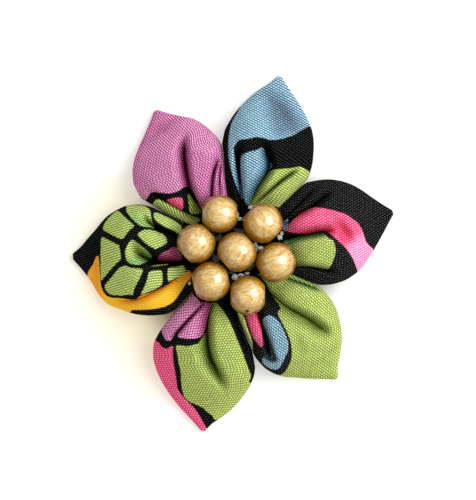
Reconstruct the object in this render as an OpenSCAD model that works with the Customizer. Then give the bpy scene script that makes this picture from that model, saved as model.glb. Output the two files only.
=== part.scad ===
// Folded fabric flower lapel pin: six pointed petals round seven wooden beads, felt and a bar pin behind

/* [Petals] */
// Height of a whole petal's top above the surface that the flower lies on
petal_height = 10.8; // [10.2:0.2:12]
// Thickness of a petal's wall, which is two layers of cotton canvas
cloth_thickness = 1.0; // [0.8:0.05:1.1]
// Clear space between neighbouring petals
petal_gap = 0.3; // [0.2:0.05:0.6]
// Width of the slit where the two flaps meet behind a petal
flap_slit = 0.6; // [0.3:0.1:1.2]

/* [Beads] */
// Height of the ring beads' middles above the petals' gathered roots
bead_rise = 4.05; // [4.05:0.05:4.6]
// Diameter of the hole through each bead
bead_hole = 1.6; // [1:0.1:2.4]

/* [Backing] */
// Diameter of the felt disc
felt_diameter = 24; // [20:0.5:24]
// Thickness of the felt disc
felt_thickness = 1.0; // [0.8:0.1:1.2]
// Length of the bar pin over its plate
pin_length = 20; // [16:1:22]
// Width of the bar pin's plate
pin_width = 4.6; // [4:0.2:6]
// Diameter of the needle
needle_diameter = 0.8; // [0.6:0.1:1]

/* [Hidden] */
RING = ["bead_top_left", "bead_top_right", "bead_right", "bead_bottom", "bead_bottom_left", "bead_left"];
PETALS = ["petal_top_left", "petal_top", "petal_right", "petal_bottom_right", "petal_bottom_left",
    "petal_left"];

// The petals meet here, measured from the middle of the whole flower's outline
bloom_middle = [0.4, 0.43];
seat_gap = 0.2;
plate_thickness = 0.8;
pin_clearance = 0.3;
barrel_diameter = 2.2;
needle_height = pin_clearance + barrel_diameter / 2;
plate_back = 3.0;
felt_back = plate_back + plate_thickness + seat_gap;
felt_front = felt_back + felt_thickness;
root_back = felt_front + seat_gap;
// Height of the gathered roots as a share of petal_height
root_crown = 0.7;
bead_level = root_crown * petal_height + bead_rise;
// Distances from the middle between which a petal's back droops from the felt to the table
droop_start = 12.3;
droop_end = 28.5;
// Least space between a petal's front wall and its flaps
wall_space = 0.2;
// Most that a wall takes of the half width, which thins it at the tip
tip_wall = 0.45;
edge_power = 2.4;
flap_power = 4;
// Shares of a fold's length over which it fades in and its crease tightens, and how tight the crease gets
fold_fade = 0.5;
crease_fade = 0.7;
crease_most = 0.75;
// Directions, as shares of the wall's thickness, in which the front is pressed in to find its inner face
wall_directions = [-0.8, -0.4, 0, 0.4, 0.8];
// How far out towards an edge a fold's line may run, as a share of the reach there
fold_limit = 0.93;
// How strongly the points across the front crowd towards the folds and edges, from 0 to 1
crowding = 0.6;

// A petal's sections from its tip to its root: distance from the middle, reach to the left and to the
// right of its axis with the tip pointing away, and the crown's height as a share of petal_height
along = 0;
left = 1;
right = 2;
crown = 3;

// A petal's folds from left to right: where the fold ends towards the tip, its four distances across
// from the root to that end, its depth as a share of the height there, and its reach to each side
fold_end = 0;
fold_path = 1;
fold_depth = 2;
fold_left = 3;
fold_right = 4;
fold_root = 8;

top_left_sections = [
    [33.3, 0.4, 0.4, 0.11], [32, 1.9, 1.6, 0.2], [30, 4.5, 3.7, 0.27], [28, 7.2, 6.0, 0.44],
    [26, 9.3, 7.2, 0.63], [24, 10.6, 7.9, 0.78], [22, 11.3, 8.4, 0.89], [20, 11.4, 8.4, 0.97],
    [18, 11.1, 7.9, 1.0], [16, 10.2, 7.0, 1.0], [14, 8.6, 6.0, 0.96], [12.3, 7.3, 5.1, 0.86],
    [10.8, 6.2, 4.3, 0.74], [9, 4.9, 3.5, root_crown], [6.5, 3.0, 2.6, root_crown]];
top_left_folds = [
    [20.5, [-3.0, -5.2, -7.5, -9.7], 0.5, 1.0, 1.6],
    [26.5, [-1.5, -2.0, 0.0, 2.5], 0.95, 3.4, 1.8],
    [19, [1.0, 2.5, 4.6, 6.5], 0.75, 1.4, 1.0],
    [18, [2.1, 3.7, 5.3, 7.1], 0.4, 0.7, 0.7]];

top_sections = [
    [36.9, 0.4, 0.5, 0.11], [35.3, 1.6, 2.6, 0.19], [33, 3.6, 5.2, 0.27], [30.5, 5.4, 7.6, 0.42],
    [28, 6.7, 9.4, 0.61], [25.8, 7.5, 10.3, 0.77], [23.5, 8.0, 10.8, 0.89], [21, 7.9, 11.1, 0.97],
    [18.8, 7.3, 11.0, 1.01], [16.6, 6.6, 10.2, 1.01], [14.4, 5.7, 8.9, 0.97], [12.4, 4.9, 7.5, 0.87],
    [10.8, 4.2, 6.4, 0.75], [9, 3.4, 5.0, root_crown], [6.5, 2.5, 3.2, root_crown]];
top_folds = [
    [22.5, [-0.9, -2.2, -3.9, -4.6], 0.75, 1.2, 1.8],
    [24, [0.4, 1.2, 2.6, 0.3], 0.9, 2.8, 1.8],
    [20, [1.8, 4.2, 6.6, 9.3], 0.6, 1.3, 1.3]];

right_sections = [
    [33.4, 0.4, 0.5, 0.11], [32, 1.8, 2.0, 0.2], [30, 4.0, 4.2, 0.28], [28, 6.3, 6.3, 0.45],
    [26, 8.0, 8.2, 0.64], [24, 9.1, 9.8, 0.79], [22, 9.8, 10.7, 0.9], [20, 10.1, 11.2, 0.97],
    [18, 9.9, 11.3, 1.0], [16, 9.1, 11.0, 1.0], [14, 8.0, 10.2, 0.96], [12.3, 7.0, 9.0, 0.86],
    [10.8, 6.1, 7.9, 0.74], [9, 5.0, 6.4, root_crown], [6.5, 3.2, 4.0, root_crown]];
right_folds = [
    [20.5, [-3.4, -4.7, -7.0, -9.2], 0.5, 1.0, 1.2],
    [23.5, [-2.0, -3.8, -5.5, -7.8], 0.65, 1.2, 1.6],
    [24, [-0.2, 0.1, 0.4, 3.2], 0.95, 2.6, 2.0],
    [20, [3.4, 5.8, 7.6, 9.6], 0.65, 1.4, 1.2]];

bottom_right_sections = [
    [33.3, 0.4, 0.4, 0.11], [32, 1.3, 1.8, 0.2], [30, 3.5, 4.2, 0.28], [28, 5.6, 6.3, 0.45],
    [26, 7.1, 8.4, 0.63], [24, 8.1, 9.6, 0.78], [22, 8.9, 10.2, 0.89], [20, 9.2, 10.3, 0.97],
    [18, 9.2, 9.9, 1.0], [16, 8.8, 9.2, 1.0], [14, 7.9, 8.4, 0.96], [12.3, 7.0, 7.6, 0.86],
    [10.8, 6.1, 6.8, 0.74], [9, 5.0, 5.8, root_crown], [6.5, 3.1, 3.8, root_crown]];
bottom_right_folds = [
    [17.5, [-3.3, -4.7, -6.5, -8.1], 0.4, 0.9, 0.9],
    [26, [-0.3, -0.6, -2.4, -3.6], 0.95, 2.2, 3.2],
    [22, [2.6, 4.4, 6.0, 8.3], 0.75, 1.8, 1.1],
    [19, [4.6, 6.3, 7.7, 9.0], 0.5, 0.9, 0.8]];

bottom_left_sections = [
    [37.3, 0.4, 0.5, 0.11], [35.7, 1.4, 2.5, 0.19], [33.5, 3.6, 5.4, 0.27], [31, 5.6, 8.2, 0.42],
    [28.5, 7.0, 10.4, 0.61], [26.2, 7.9, 11.9, 0.77], [24, 8.3, 12.8, 0.88], [21.6, 8.1, 13.1, 0.96],
    [19.2, 7.4, 12.5, 1.01], [16.8, 6.4, 11.3, 1.01], [14.4, 5.0, 9.7, 0.97], [12.4, 3.7, 8.4, 0.87],
    [10.8, 2.9, 7.3, 0.75], [9, 2.2, 6.0, root_crown], [6.5, 1.5, 4.2, root_crown]];
bottom_left_folds = [
    [21.5, [-0.6, -2.0, -4.4, -7.0], 0.55, 1.0, 1.4],
    [28, [2.2, 2.9, 1.0, -1.8], 0.95, 2.6, 2.8],
    [20.5, [3.6, 5.6, 7.7, 9.6], 0.7, 1.6, 1.1]];

left_sections = [
    [33.3, 0.6, 0.6, 0.12], [31.6, 2.6, 2.0, 0.16], [30, 4.8, 3.8, 0.19], [28.3, 7.8, 5.6, 0.24],
    [27.4, 9.0, 6.7, 0.47], [26, 10.2, 8.1, 0.66], [24, 11.0, 9.3, 0.83], [22, 11.8, 10.1, 0.94],
    [20, 12.3, 10.3, 1.0], [17.5, 12.5, 9.9, 1.03], [15, 12.1, 8.7, 1.0], [12.7, 10.9, 7.4, 0.88],
    [10.8, 8.9, 6.3, 0.75], [9, 6.9, 5.1, root_crown], [6.5, 4.3, 3.2, root_crown]];
left_folds = [
    [27.2, [-3.8, -6.6, -9.2, -9.0], 0.5, 2.4, 0.8],
    [22, [-1.8, -1.7, -1.2, 1.4], 0.95, 2.0, 2.6],
    [19.5, [2.4, 3.7, 5.2, 8.0], 0.75, 1.6, 1.2]];

// One row for each petal: its direction, its sections, its folds, and the directions of the seams to
// the neighbours on its left and right, each at seam_inner and seam_outer from the middle
seam_inner = 12;
seam_outer = 20;
facing = 0;
sections = 1;
folds = 2;
left_seam = 3;
right_seam = 4;
petal_rows = [
    [119.4, top_left_sections, top_left_folds, [150.4, 150.4], [97.8, 97.8]],
    [76.2, top_sections, top_folds, [97.8, 97.8], [45, 45]],
    [14.2, right_sections, right_folds, [45, 45], [-21.8, -21.8]],
    [-51.2, bottom_right_sections, bottom_right_folds, [-21.8, -21.8], [-84.5, -79.3]],
    [-100.1, bottom_left_sections, bottom_left_folds, [-84.5, -79.3], [-135.3, -135.3]],
    [-178.4, left_sections, left_folds, [-135.3, -135.3], [-209.6, -209.6]]];

// The main colour of each petal, in the order of PETALS
petal_colours = ["#b8609a", "#7fa9c6", "#2a2b2d", "#a3b550", "#a3b550", "#a3b550"];

// One row for each bead: its middle across and up from the bloom's middle, how far it stands above
// bead_level, the direction of its hole, its diameter and its length along the hole
bead_rows = [
    [-3.1, 7.75, 0.1, 0, 7.8, 7.1],
    [5.65, 5.85, 0.15, 135, 8.2, 7.4],
    [8.3, -2.1, 0.0, 30, 8.0, 7.6],
    [2.6, -8.8, 0.3, 0, 8.1, 7.0],
    [-4.9, -5.95, 0.0, 12, 8.1, 7.3],
    [-7.85, 1.75, 0.1, 45, 8.0, 7.2],
    [0.4, 0.05, 1.2, 42, 8.2, 7.1]];
bead_x = 0;
bead_y = 1;
bead_lift = 2;
bead_turn = 3;
bead_diameter = 4;
bead_length = 5;
centre_bead = 6;
// Radius of a bead's flat ends as a share of its radius
end_share = 0.45;

// Steps across the whole front of a petal and round each flap
front_steps = 20;
flap_steps = 5;

function clamp(value, low, high) = max(low, min(high, value));
function smooth(share) = let (s = clamp(share, 0, 1)) s * s * (3 - 2 * s);
function column(rows, name) = [for (i = [len(rows) - 1 : -1 : 0]) [rows[i][along], rows[i][name]]];

// How far a petal's back has drooped from the felt to the table, from 0 to 1, and its height there
function droop_at(a) = smooth((a - droop_start) / (droop_end - droop_start));
function back_at(a) = root_back * (1 - droop_at(a));
function crown_at(rows, a) = petal_height * lookup(a, column(rows, crown));
function wall_at(rows, a) = min(cloth_thickness, (crown_at(rows, a) - back_at(a) - wall_space) / 2,
    tip_wall * min(lookup(a, column(rows, left)), lookup(a, column(rows, right))));

// Height of the widest line of the side, where the front rolls over into the flaps
function side_at(rows, a) = back_at(a) + (2 - droop_at(a)) * wall_at(rows, a) + wall_space;

// Direction of a seam at a distance from the middle
function seam_at(seam, r) =
    seam[0] + (seam[1] - seam[0]) * clamp((r - seam_inner) / (seam_outer - seam_inner), 0, 1);

// Reach to one side, kept within the petal's own wedge
function reach_at(rows, name, direction, seam, a) =
    let (guess = abs(seam_at(seam, a) - direction))
    let (angle = abs(seam_at(seam, a / cos(guess)) - direction))
    min(lookup(a, column(rows, name)), a * tan(angle) - petal_gap / 2 / cos(angle));

// A smooth line through four evenly spaced values
function through(v, share) =
    let (s = clamp(share, 0, 1) * 3)
    let (i = min(2, floor(s)), t = s - i)
    let (p0 = v[max(0, i - 1)], p1 = v[i], p2 = v[i + 1], p3 = v[min(3, i + 2)])
    p1 + t * (p2 - p0 + t * (2 * p0 - 5 * p1 + 4 * p2 - p3 + t * (3 * (p1 - p2) + p3 - p0))) / 2;

function fold_share(fold, a) = (a - fold_root) / (fold[fold_end] - fold_root);
function fold_at(fold, a) = through(fold[fold_path], fold_share(fold, a));

// Cross profile of a fold, from 1 on its line to 0 at its reach: soft near its end, and two rolls that
// meet in a crease towards the root
function crease(x, tight) =
    let (u = min(1, abs(x)))
    tight * (1 - sqrt(max(0, 1 - (1 - u) * (1 - u)))) + (1 - tight) * pow(1 - u * u, 2);

function fold_factor(fold, a, b) =
    let (share = fold_share(fold, a), across = b - fold_at(fold, a))
    let (reach = fold[across < 0 ? fold_left : fold_right])
    let (strength = smooth((1 - share) / fold_fade))
    let (tight = crease_most * smooth((1 - share) / crease_fade))
    1 - fold[fold_depth] * strength * crease(across / reach, tight);

function product(values, i = 0) = i == len(values) ? 1 : values[i] * product(values, i + 1);
function dome(x) = sqrt(max(0, 1 - pow(min(1, abs(x)), edge_power)));
function flap(x) = sqrt(max(0, 1 - pow(min(1, abs(x)), flap_power)));

// Height of a petal's front at one place; reach is [left, right] there
function front_at(rows, creases, reach, a, b) =
    let (side = side_at(rows, a))
    let (full = (crown_at(rows, a) - side) * dome(b / (b < 0 ? reach[0] : reach[1])))
    side + full * product([for (fold = creases) fold_factor(fold, a, b)]);

// Inner face of the front wall: the outer face pressed in by the wall's thickness
function lining_at(rows, creases, reach, a, b) =
    let (wall = wall_at(rows, a), side = side_at(rows, a))
    let (shell = (crown_at(rows, a) - wall - side) * dome(b / ((b < 0 ? reach[0] : reach[1]) - wall)))
    max(flap_face(rows, reach, a, b, wall) + wall_space / 2,
        min(side + shell, min([for (s = wall_directions)
            front_at(rows, creases, reach, a, b + s * wall) - wall * sqrt(1 - s * s)])));

// Height of a flap's outer face, or of its inner face with inset as its thickness
function flap_face(rows, reach, a, b, inset) =
    let (side = side_at(rows, a), width = (b < 0 ? reach[0] : reach[1]) - inset)
    side - (side - back_at(a) - inset) * flap(b / width);

// Places across the front, crowded towards the folds and the edges
function share_across(b, reach) = clamp(b / (b < 0 ? reach[0] : reach[1]), -fold_limit, fold_limit);
function reaches(row, a) = [reach_at(row[sections], left, row[facing], row[left_seam], a),
    reach_at(row[sections], right, row[facing], row[right_seam], a)];

// Past a fold's end its line keeps its share of the reach, and spreads evenly towards the tip
function fold_line(row, i, a) =
    let (fold = row[folds][i], tip = row[sections][0][along], end = fold[fold_end])
    let (ended = share_across(fold_at(fold, end), reaches(row, end)))
    let (even = 2 * (i + 1) / (len(row[folds]) + 1) - 1)
    a <= end ? share_across(fold_at(fold, a), reaches(row, a))
        : ended + (even - ended) * smooth((a - end) / (tip - end));
function knots(row, reach, a) =
    [-reach[0], each [for (i = [0 : len(row[folds]) - 1]) let (share = fold_line(row, i, a))
        share * (share < 0 ? reach[0] : reach[1])], reach[1]];
function crowd(share) = crowding * (1 - cos(180 * share)) / 2 + (1 - crowding) * share;
function steps_between(spans, i) = floor(front_steps * (i + 1) / spans) - floor(front_steps * i / spans);
function places(line) =
    let (spans = len(line) - 1)
    [line[0], each [for (i = [0 : spans - 1]) each [for (k = [1 : steps_between(spans, i)])
        line[i] + (line[i + 1] - line[i]) * crowd(k / steps_between(spans, i))]]];
function flap_places(reach) =
    [for (k = [0 : flap_steps - 1]) max(flap_slit / 2, reach * sin(90 * k / flap_steps))];

// One section of a petal as points [across, height], from the slit round the left edge, over the front
// and round the right edge back to the slit: the outer face, or the inner face with inset as its thickness
function section_points(row, a, inset) =
    let (rows = row[sections], creases = row[folds], reach = reaches(row, a))
    let (shrink = [(reach[0] - inset) / reach[0], (reach[1] - inset) / reach[1]])
    let (front = places(knots(row, reach, a)))
    let (flap_left = flap_places(reach[0] - inset), flap_right = flap_places(reach[1] - inset))
    [each [for (b = flap_left) [-b, flap_face(rows, reach, a, -b, inset)]],
     each [for (p = front) let (b = p * (p < 0 ? shrink[0] : shrink[1]))
        [b, inset == 0 ? front_at(rows, creases, reach, a, b) : lining_at(rows, creases, reach, a, b)]],
     each [for (k = [flap_steps - 1 : -1 : 0]) let (b = flap_right[k])
        [b, flap_face(rows, reach, a, b, inset)]]];

// Two triangles on four corners
function quad(p, q, r, s) = [[p, q, r], [p, r, s]];

module petal(index) {
    row = petal_rows[index];
    rows = row[sections];
    count = len(rows);
    around = front_steps + 1 + 2 * flap_steps;
    inner = count * around;
    last = (count - 1) * around;
    sheets = [for (layer = [0, 1]) for (r = rows)
        for (p = section_points(row, r[along], layer * wall_at(rows, r[along]))) [p[0], r[along], p[1]]];
    outer_faces = [for (i = [0 : count - 2]) for (j = [0 : around - 2])
        each quad(i * around + j, i * around + j + 1, (i + 1) * around + j + 1, (i + 1) * around + j)];
    inner_faces = [for (f = outer_faces) [f[2] + inner, f[1] + inner, f[0] + inner]];
    slit_faces = [for (i = [0 : count - 2])
        each [each quad(i * around, (i + 1) * around, (i + 1) * around + inner, i * around + inner),
            each quad((i + 1) * around - 1, (i + 1) * around - 1 + inner,
                (i + 2) * around - 1 + inner, (i + 2) * around - 1)]];
    end_faces = [for (j = [0 : around - 2])
        each [each quad(j, j + inner, j + 1 + inner, j + 1),
            each quad(last + j, last + j + 1, last + j + 1 + inner, last + j + inner)]];
    color(petal_colours[index])
        translate([bloom_middle[0], bloom_middle[1], 0])
            rotate([0, 0, row[facing] - 90])
                polyhedron(points = sheets,
                    faces = [each outer_faces, each inner_faces, each slit_faces, each end_faces]);
}

module bead(row) {
    radius = row[bead_diameter] / 2;
    half = row[bead_length] / 2;
    end_radius = radius * end_share;
    // The profile's arc passes through the end's rim and the belly
    arc_radius = (half * half + pow(radius - end_radius, 2)) / (2 * (radius - end_radius));
    arc_angle = asin(half / arc_radius);
    arc_steps = 16;
    color("#c8a055")
        translate([bloom_middle[0], bloom_middle[1], bead_level])
            translate([row[bead_x], row[bead_y], row[bead_lift]])
                rotate([0, 90, row[bead_turn]])
                    rotate_extrude($fn = 48)
                        polygon([[bead_hole / 2, -half], each [for (k = [0 : arc_steps])
                            let (angle = arc_angle * (2 * k / arc_steps - 1))
                            [radius - arc_radius * (1 - cos(angle)), arc_radius * sin(angle)]],
                            [bead_hole / 2, half]]);
}

// The glue on the felt: a low mound whose peak reaches up to the centre bead
module glue_pad() {
    centre = bead_rows[centre_bead];
    pad_gap = 0.05;
    pad_shift = 0.2;
    peak = bead_level + centre[bead_lift] - centre[bead_diameter] / 2 - seat_gap - felt_front - pad_gap;
    pad_steps = [[5.6, 0], [5.2, 0.9], [3.4, 1.9], [1.4, peak]];
    color("#e8e6dc")
        translate([bloom_middle[0] + pad_shift, bloom_middle[1], felt_front + pad_gap])
            rotate_extrude($fn = 48)
                polygon([[0, 0], each pad_steps, [0, peak]]);
}

module felt_disc() {
    color("#2a2b2d")
        translate([bloom_middle[0], bloom_middle[1], felt_back])
            cylinder(h = felt_thickness, d = felt_diameter, $fn = 72);
}

// The closed bar pin: a plate, the hinge barrel and the catch that it stands on, and the needle between
module bar_pin() {
    post_width = 1.6;
    barrel_length = pin_width - post_width;
    barrel_place = pin_length / 2 - barrel_diameter / 2;
    post_height = plate_back + plate_thickness / 2 - needle_height;
    color("silver")
        translate([bloom_middle[0], bloom_middle[1], 0])
            union() {
                translate([-pin_length / 2, -pin_width / 2, plate_back])
                    cube([pin_length, pin_width, plate_thickness]);
                for (side = [-1, 1])
                    translate([side * barrel_place, 0, 0]) {
                        translate([0, barrel_length / 2, needle_height])
                            rotate([90, 0, 0])
                                cylinder(h = barrel_length, d = barrel_diameter, $fn = 32);
                        translate([-post_width / 2, -barrel_length / 2, needle_height])
                            cube([post_width, barrel_length, post_height]);
                    }
                translate([-barrel_place, 0, needle_height])
                    rotate([0, 90, 0])
                        cylinder(h = 2 * barrel_place, d = needle_diameter, $fn = 24);
            }
}

for (i = [0 : len(PETALS) - 1])
    petal(i);
for (i = [0 : len(RING) - 1])
    bead(bead_rows[i]);
bead(bead_rows[centre_bead]);  // bead_centre
glue_pad();
felt_disc();
bar_pin();
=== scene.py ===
import math
from types import SimpleNamespace
import bmesh
import bpy
import numpy as np
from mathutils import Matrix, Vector, noise


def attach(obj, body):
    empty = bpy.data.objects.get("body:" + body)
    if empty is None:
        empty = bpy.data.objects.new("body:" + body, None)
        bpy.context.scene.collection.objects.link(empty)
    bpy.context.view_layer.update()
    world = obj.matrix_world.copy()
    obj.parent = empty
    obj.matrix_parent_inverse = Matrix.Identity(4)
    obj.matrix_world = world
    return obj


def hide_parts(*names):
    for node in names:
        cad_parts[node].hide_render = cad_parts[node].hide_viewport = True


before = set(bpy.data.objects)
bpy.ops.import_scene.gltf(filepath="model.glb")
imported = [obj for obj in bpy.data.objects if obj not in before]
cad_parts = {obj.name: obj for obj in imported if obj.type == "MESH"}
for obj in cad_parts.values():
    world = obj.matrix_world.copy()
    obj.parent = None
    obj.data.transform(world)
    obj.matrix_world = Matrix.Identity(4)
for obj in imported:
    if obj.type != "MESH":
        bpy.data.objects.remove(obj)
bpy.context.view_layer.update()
mm = 0.001
print("packed flower loaded")


def newObject(name, data):
    thing = bpy.data.objects.new(name, data)
    bpy.context.scene.collection.objects.link(thing)
    return thing


# Camera: straight down on the flower as it lies; mm, but the clip is in metres
cameraView = {"middle": (1.01, 0.84), "height": 1200.0, "aimHeight": 8.0, "fieldTall": 102.04, "sensorTall": 36.0,
              "clip": (0.05, 20.0)}
cameraData = bpy.data.cameras.new("flowerCamera")
cameraData.sensor_fit = "VERTICAL"
cameraData.sensor_height = cameraView["sensorTall"]
cameraData.lens = cameraView["sensorTall"] * cameraView["height"] / cameraView["fieldTall"]
cameraData.clip_start, cameraData.clip_end = cameraView["clip"]
cameraObject = newObject("flowerCamera", cameraData)
cameraHeight = cameraView["height"] + cameraView["aimHeight"]
cameraObject.location = [part * mm for part in (*cameraView["middle"], cameraHeight)]
bpy.context.scene.camera = cameraObject
print("camera placed")


def smooth(share):
    share = np.clip(share, 0.0, 1.0)
    return share * share * (3.0 - 2.0 * share)


def inkColour(code):
    # linear colour from a written sRGB one
    parts = [int(code[i:i + 2], 16) / 255 for i in (1, 3, 5)]
    return tuple(p / 12.92 if p <= 0.04045 else ((p + 0.055) / 1.055) ** 2.4 for p in parts) + (1.0,)


class Wire:
    # a node's output; a sum, a product or a comparison adds the Math node that works it out
    def __init__(self, build, socket):
        self.build = build
        self.socket = socket

    def __add__(self, other):
        return self.build.math("ADD", self, other)

    def __sub__(self, other):
        return self.build.math("SUBTRACT", self, other)

    def __rsub__(self, other):
        return self.build.math("SUBTRACT", other, self)

    def __mul__(self, other):
        return self.build.math("MULTIPLY", self, other)

    def __truediv__(self, other):
        return self.build.math("DIVIDE", self, other)

    def __gt__(self, other):
        return self.build.math("GREATER_THAN", self, other)


class Nodes:
    # adds nodes to one tree and wires them up
    def __init__(self, tree, material=None):
        self.tree = tree
        self.material = material

    def put(self, value, socket):
        # a socket takes a wire, a written colour or a plain value
        if isinstance(value, Wire):
            self.tree.links.new(value.socket, socket)
        else:
            socket.default_value = inkColour(value) if str(value).startswith("#") else value

    def add(self, kind, *inputs, **named):
        # inputs go in by place, or by a name with a capital; the other names are the node's settings
        node = self.tree.nodes.new(kind)
        for name in filter(str.islower, named):
            setattr(node, name, named[name])
        for place, value in enumerate(inputs):
            if value is not None:
                self.put(value, node.inputs[place])
        for name, value in named.items():
            if not name.islower():
                self.put(value, node.inputs[name.replace("_", " ")])
        return node

    def make(self, kind, *inputs, result=0, **named):
        return Wire(self, self.add(kind, *inputs, **named).outputs[result])

    def wires(self, node):
        return {socket.name: Wire(self, socket) for socket in node.outputs}

    def math(self, operation, *values, clamp=False):
        return self.make("ShaderNodeMath", *values, operation=operation, use_clamp=clamp)

    def vector(self, operation, *values, **named):
        return self.make("ShaderNodeVectorMath", *values, operation=operation, **named)

    def remap(self, value, fromLow, fromHigh, toLow=0.0, toHigh=1.0, kind="SMOOTHSTEP"):
        return self.make("ShaderNodeMapRange", value, fromLow, fromHigh, toLow, toHigh, interpolation_type=kind)

    def mix(self, share, first, second, blend="MIX"):
        return self.make("ShaderNodeMix", share, *[None] * 5, first, second, result=2, data_type="RGBA",
                         blend_type=blend)

    def noise(self, place, scale, detail=2.0, roughness=0.5, **named):
        return self.make("ShaderNodeTexNoise", Vector=place, Scale=scale, Detail=detail, Roughness=roughness,
                         **named)

    def attribute(self, name, result="Fac"):
        return self.make("ShaderNodeAttribute", attribute_name=name, result=result)

    def group(self, tree, **inputs):
        return self.wires(self.add("ShaderNodeGroup", node_tree=tree, **inputs))

    def bump(self, height, strength, distance):
        return self.make("ShaderNodeBump", Height=height, Strength=strength, Distance=distance * mm)

    def shade(self, **inputs):
        self.add("ShaderNodeOutputMaterial", Surface=self.make("ShaderNodeBsdfPrincipled", **inputs))
        return self.material


def newMaterial(name):
    material = bpy.data.materials.new(name)
    material.use_nodes = True
    material.node_tree.nodes.clear()
    return Nodes(material.node_tree, material)


def newTree(kind, name, outputs, inputs):
    # a group of shader or geometry nodes; an input's first value says what it takes
    tree = bpy.data.node_groups.new(name, kind + "NodeTree")
    takes = {float: "Float", int: "Int", tuple: "Vector", bpy.types.Material: "Material"}
    for label, value in inputs.items():
        socket = tree.interface.new_socket(label, in_out="INPUT", socket_type="NodeSocket" + takes[type(value)])
        socket.default_value = value
    for label in outputs:
        gives = "NodeSocketGeometry" if kind == "Geometry" else "NodeSocketFloat"
        tree.interface.new_socket(label, in_out="OUTPUT", socket_type=gives)
    build = Nodes(tree)
    return build, build.wires(build.add("NodeGroupInput"))


# Canvas weave on a map in millimetres: a close warp whose floats stand proud in staggered rows over a
# thicker weft, its threads at 45 degrees to the petal's axis
weaveNoises = {"astray": (0.8, 3.0, 0.6), "slubs": (1.7, 3.0, 0.65)}    # scale, detail, roughness


def makeWeave():
    build, given = newTree("Shader", "canvasWeave", ["Height", "Thread Tone", "Slub"], {
        "Map": (0.0, 0.0, 0.0), "Warp per mm": 3.53, "Weft per mm": 2.04, "Ribs": 0.3, "Lean": 0.7, "Wander": 0.2,
        "Turn": math.pi / 4})
    turned = build.make("ShaderNodeVectorRotate", rotation_type="Z_AXIS", Vector=given["Map"], Angle=given["Turn"])
    astray = build.vector("SUBTRACT", build.noise(turned, *weaveNoises["astray"], result="Color"), (0.5, 0.5, 0.5))
    placed = build.vector("ADD", turned, build.vector("SCALE", astray, Scale=given["Wander"]))
    split = build.wires(build.add("ShaderNodeSeparateXYZ", placed))
    lines = [split["X"] * given["Warp per mm"], split["Y"] * given["Weft per mm"]]
    waves = [build.math("SINE", line * math.pi) for line in lines]
    over = waves[0] * waves[1] > 0.0
    # floats in a checkerboard that lean along one diagonal, and the weft's ribs
    diagonals = [build.math("COSINE", way * math.pi) for way in (lines[0] - lines[1], lines[0] + lines[1])]
    floats = diagonals[0] * given["Lean"] - diagonals[1] * (1.0 - given["Lean"])
    ribs = build.math("COSINE", lines[1] * (2 * math.pi))
    relief = floats * (1.0 - given["Ribs"]) - ribs * given["Ribs"]
    # each thread has its own tone, and each float a little of its own
    tones = []
    for i in (0, 1):
        pair = []
        for other in (17.0 * i + 3.0, build.math("FLOOR", lines[1 - i])):
            cell = build.make("ShaderNodeCombineXYZ", build.math("FLOOR", lines[i]), other)
            pair.append(build.make("ShaderNodeTexWhiteNoise", noise_dimensions="2D", Vector=cell))
        tones.append((pair[0] + pair[1]) * 0.5)
    build.add("NodeGroupOutput", Height=relief * 0.5 + 0.5, Thread_Tone=over * tones[0] + (1.0 - over) * tones[1],
              Slub=build.noise(placed, *weaveNoises["slubs"]))
    return build.tree


weaveGroup = makeWeave()

clothLook = {
    # colour, how much pale thread shows through it, how dark its painted shade goes in the gaps, and mm it has
    # spread
    "inks": {
        "purple": ("#c371a1", 1.0, 1.15, 0.12), "blue": ("#759cb2", 1.0, 1.3, 0.12),
        "green": ("#9bab4a", 1.0, 1.0, 0.12), "black": ("#050708", 0.1, 1.0, 0.12),
        # painted light: a black with more pale thread, for black ground that lies in the light
        "soot": ("#07090b", 0.2, 1.0, 0.12), "pink": ("#ee457c", 1.0, 0.85, 0.12),
        # painted light: the lime ink is a lighter green for a sliver that catches the light
        "orange": ("#ffc22a", 0.3, 0.2, 0.16), "lime": ("#d0e27c", 1.0, 0.7, 0.2),
        "pane": ("#a2b654", 1.0, 1.0, -0.1)},
    # a wash tints what the ink before it covers: colour, mm over which it fades, how much pale thread it leaves
    "washes": {
        # painted shade: the slate, dusk, moss, wine and magenta washes darken an ink where it lies in shade;
        # painted light: the rose wash pales the pink on its lit flank
        "rose": ("#fb8ebb", 1.2, 1.0), "moss": ("#557a34", 0.5, 0.5), "slate": ("#5c7b92", 1.6, 0.9),
        "dusk": ("#1a242c", 0.5, 0.1), "ember": ("#ffa826", 0.7, 1.0), "mint": ("#82ad58", 0.6, 1.0),
        "wine": ("#ac4676", 1.0, 0.6), "magenta": ("#b95f96", 1.1, 0.95)},
    "bareThread": "#e8e8dc",    # undyed thread that the ink leaves pale at the tops of the weave
    "edgeBlur": 0.12,           # mm over which one ink turns into the next
    "edgeWander": 0.16,         # mm by which threads carry an ink's edge astray
    "paleTops": 0.62,
    "threadTone": 0.22,
    "gapShade": 0.25,           # how dark the gaps between threads are
    "topShade": 2.1,
    "lightest": 0.97,
    "gapStrength": 0.6,
    "creaseDeep": 1.0,          # how far the painted fold shade takes the ink to its own deeper colour
    "creaseShade": 0.4,
    "wander": (2.6, 3.0, 0.7),  # noise: scale, detail, roughness
    # heights in the weave between which the gaps, the light and the pale tops come in
    "gapHeights": (0.6, 0.1), "lightHeights": (0.1, 0.9), "topHeights": (0.4, 1.0), "slubs": (0.2, 0.7),
    "roughness": 0.85,
    "relief": (0.75, 0.12),     # strength, and depth in mm
}


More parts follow.
